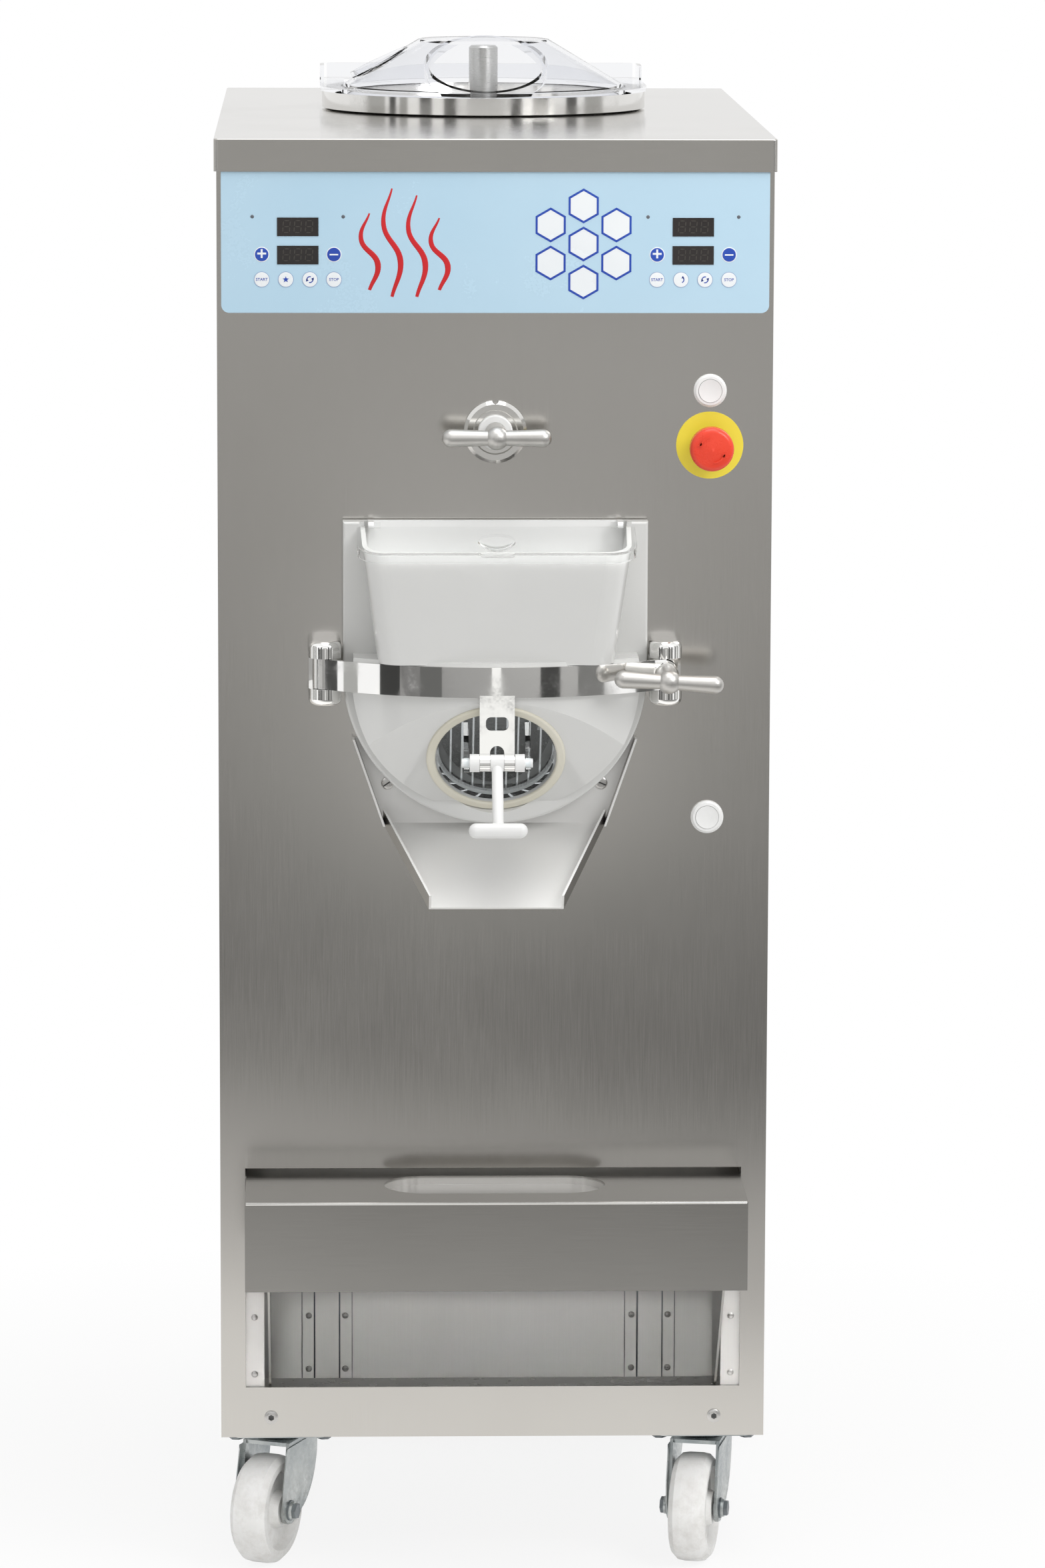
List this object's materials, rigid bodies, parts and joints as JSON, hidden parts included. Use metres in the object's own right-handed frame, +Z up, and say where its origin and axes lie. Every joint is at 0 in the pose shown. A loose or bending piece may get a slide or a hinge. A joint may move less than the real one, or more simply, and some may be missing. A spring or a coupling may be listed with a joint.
{
  "type": "ice cream maker",
  "caption": "Free-standing professional ice cream machine on castors, with a lidded heating tank, a horizontal freezing cylinder behind a hinged white door, a chute and a sliding tub shelf.",
  "frame": {"origin": "on the floor under the middle of the overall box", "axes": "+Z up, the front with the door and controls faces -Y, +X to the viewer's right"},
  "size_m": [0.5, 0.9838, 1.3775],
  "materials": {
    "stainless": "brushed stainless sheet",
    "inner_steel": "satin stainless steel",
    "polished": "polished steel",
    "cast_satin": "satin cast metal",
    "zinc": "zinc plated steel",
    "film": "printed polyester film",
    "display": "dark display window",
    "black_plastic": "black moulded plastic",
    "white_plastic": "white moulded plastic",
    "cream_plastic": "cream plastic",
    "clear_plastic": "clear moulded plastic",
    "grille_steel": "steel bars",
    "yellow_plastic": "yellow plate",
    "red_plastic": "red plastic",
    "dark_plastic": "dark plastic",
    "nylon": "white nylon",
    "rubber": "black rubber",
    "foam": "insulating foam",
    "heater": "metal clad heater band",
    "motor_paint": "grey blue enamel",
    "compressor_paint": "black enamel",
    "condenser_fins": "bare fins",
    "cast": "machined cast iron"
  },
  "bodies": {
    "cabinet": {"chassis": "inner_steel", "front_panel": "stainless", "side_panels": "stainless", "rear_panel": "stainless", "top_cover": "stainless", "tank": "inner_steel", "tank_heater": "heater", "agitator_motor": "motor_paint", "lid_hinges": "polished", "control_film": "film", "display_windows": "display", "control_box": "black_plastic", "button_bezels": "white_plastic", "stop_plate": "yellow_plastic", "valve_escutcheon": "polished", "valve_bush": "white_plastic", "transfer_valve": "inner_steel", "freezing_cylinder": "inner_steel", "cylinder_insulation": "foam", "shaft_bearing": "cast", "drive_motor": "motor_paint", "drive_belt": "rubber", "compressor": "compressor_paint", "condenser": "condenser_fins", "fan_shroud": "compressor_paint", "niche_liner": "stainless", "hinge_bracket": "polished", "clamp_bracket": "polished", "chute": "stainless", "castor_plates": "zinc"},
    "tank_lid": {"tank_lid": "clear_plastic"},
    "agitator": {"agitator": "inner_steel"},
    "valve_handle": {"valve_handle": "cast_satin"},
    "freezer_door": {"freezer_door": "white_plastic", "door_seal": "rubber", "port_ring": "cream_plastic", "port_grille": "grille_steel", "door_strap": "polished"},
    "hopper_lid": {"hopper_lid": "clear_plastic"},
    "clamp_handle": {"clamp_handle": "cast_satin"},
    "outlet_lever": {"outlet_lever": "white_plastic"},
    "outlet_gate": {"outlet_gate": "clear_plastic"},
    "upper_button": {"upper_button": "white_plastic"},
    "lower_button": {"lower_button": "white_plastic"},
    "stop_stem": {"stop_stem": "dark_plastic"},
    "stop_head": {"stop_head": "red_plastic"},
    "shelf": {"shelf": "stainless"},
    "beater": {"beater": "inner_steel", "scraper_blades": "nylon", "driven_pulley": "cast"},
    "motor_pulley": {"motor_pulley": "cast"},
    "fan": {"fan": "black_plastic"},
    "front_left_fork": {"front_left_fork": "zinc"},
    "front_left_wheel": {"front_left_wheel": "nylon"},
    "front_right_fork": {"front_right_fork": "zinc"},
    "front_right_wheel": {"front_right_wheel": "nylon"},
    "rear_left_fork": {"rear_left_fork": "zinc"},
    "rear_left_wheel": {"rear_left_wheel": "nylon"},
    "rear_right_fork": {"rear_right_fork": "zinc"},
    "rear_right_wheel": {"rear_right_wheel": "nylon"}
  },
  "joints": [
    {"name": "tank_lid_hinge", "type": "hinge", "parent": "cabinet", "child": "tank_lid", "pos_m": [0, 0.28687, 1.318], "axis": [-1, 0, 0], "range_deg": [0, 85]},
    {"name": "agitator_turn", "type": "hinge", "parent": "cabinet", "child": "agitator", "pos_m": [0, 0.12887, 1.1], "axis": [0, 0, 1], "continuous": true},
    {"name": "transfer_valve_turn", "type": "hinge", "parent": "cabinet", "child": "valve_handle", "pos_m": [0, -0.36513, 1.046], "axis": [0, -1, 0], "range_deg": [0, 90]},
    {"name": "freezer_door_hinge", "type": "hinge", "parent": "cabinet", "child": "freezer_door", "pos_m": [-0.152, -0.37213, 0.833], "axis": [0, 0, -1], "range_deg": [0, 110]},
    {"name": "clamp_turn", "type": "hinge", "parent": "freezer_door", "child": "clamp_handle", "pos_m": [0.152, -0.39416, 0.833], "axis": [0, -1, 0], "continuous": true},
    {"name": "hopper_lid_hinge", "type": "hinge", "parent": "freezer_door", "child": "hopper_lid", "pos_m": [0, -0.37213, 0.9645], "axis": [-1, 0, 0], "range_deg": [0, 35]},
    {"name": "outlet_lever_hinge", "type": "hinge", "parent": "freezer_door", "child": "outlet_lever", "pos_m": [0, -0.44212, 0.762], "axis": [-1, 0, 0], "range_deg": [0, 95]},
    {"name": "outlet_gate_slide", "type": "slide", "parent": "freezer_door", "child": "outlet_gate", "axis": [0, -0.8251, -0.565], "range_m": [0, 0.01]},
    {"name": "upper_button_press", "type": "slide", "parent": "cabinet", "child": "upper_button", "axis": [0, 1, 0], "range_m": [0, 0.0025], "stiffness_N_per_m": 300},
    {"name": "lower_button_press", "type": "slide", "parent": "cabinet", "child": "lower_button", "axis": [0, 1, 0], "range_m": [0, 0.0025], "stiffness_N_per_m": 300},
    {"name": "stop_press", "type": "slide", "parent": "cabinet", "child": "stop_stem", "axis": [0, 1, 0], "range_m": [0, 0.004]},
    {"name": "stop_twist", "type": "hinge", "parent": "stop_stem", "child": "stop_head", "pos_m": [0.1915, -0.37513, 1.0338], "axis": [0, 1, 0], "range_deg": [0, 45]},
    {"name": "shelf_slide", "type": "slide", "parent": "cabinet", "child": "shelf", "axis": [0, 1, 0], "range_m": [0, 0.117]},
    {"name": "beater_turn", "type": "hinge", "parent": "cabinet", "child": "beater", "pos_m": [0, -0.14513, 0.8315], "axis": [0, -1, 0], "continuous": true},
    {"name": "motor_turn", "type": "hinge", "parent": "cabinet", "child": "motor_pulley", "pos_m": [0, 0.09487, 0.575], "axis": [0, -1, 0], "continuous": true},
    {"name": "fan_turn", "type": "hinge", "parent": "cabinet", "child": "fan", "pos_m": [0, 0.31487, 0.315], "axis": [0, -1, 0], "continuous": true},
    {"name": "front_left_swivel", "type": "hinge", "parent": "cabinet", "child": "front_left_fork", "pos_m": [-0.194, -0.28313, 0.112], "axis": [0, 0, 1], "continuous": true},
    {"name": "front_left_roll", "type": "hinge", "parent": "front_left_fork", "child": "front_left_wheel", "pos_m": [-0.20689, -0.31351, 0.05], "axis": [0.9205, -0.3907, 0], "continuous": true},
    {"name": "front_right_swivel", "type": "hinge", "parent": "cabinet", "child": "front_right_fork", "pos_m": [0.194, -0.28313, 0.112], "axis": [0, 0, 1], "continuous": true},
    {"name": "front_right_roll", "type": "hinge", "parent": "front_right_fork", "child": "front_right_wheel", "pos_m": [0.18658, -0.31528, 0.05], "axis": [0.9744, -0.225, 0], "continuous": true},
    {"name": "rear_left_swivel", "type": "hinge", "parent": "cabinet", "child": "rear_left_fork", "pos_m": [-0.194, 0.42687, 0.112], "axis": [0, 0, 1], "continuous": true},
    {"name": "rear_left_roll", "type": "hinge", "parent": "rear_left_fork", "child": "rear_left_wheel", "pos_m": [-0.2042, 0.39548, 0.05], "axis": [0.9511, -0.309, 0], "continuous": true},
    {"name": "rear_right_swivel", "type": "hinge", "parent": "cabinet", "child": "rear_right_fork", "pos_m": [0.194, 0.42687, 0.112], "axis": [0, 0, 1], "continuous": true},
    {"name": "rear_right_roll", "type": "hinge", "parent": "rear_right_fork", "child": "rear_right_wheel", "pos_m": [0.20086, 0.39459, 0.05], "axis": [0.9781, 0.2079, 0], "continuous": true}
  ],
  "couplings": [
    {"joint": "outlet_gate_slide", "follows": "outlet_lever_hinge", "m_per_rad": 0.0060305},
    {"joint": "motor_turn", "follows": "beater_turn", "ratio": 2.5714}
  ]
}
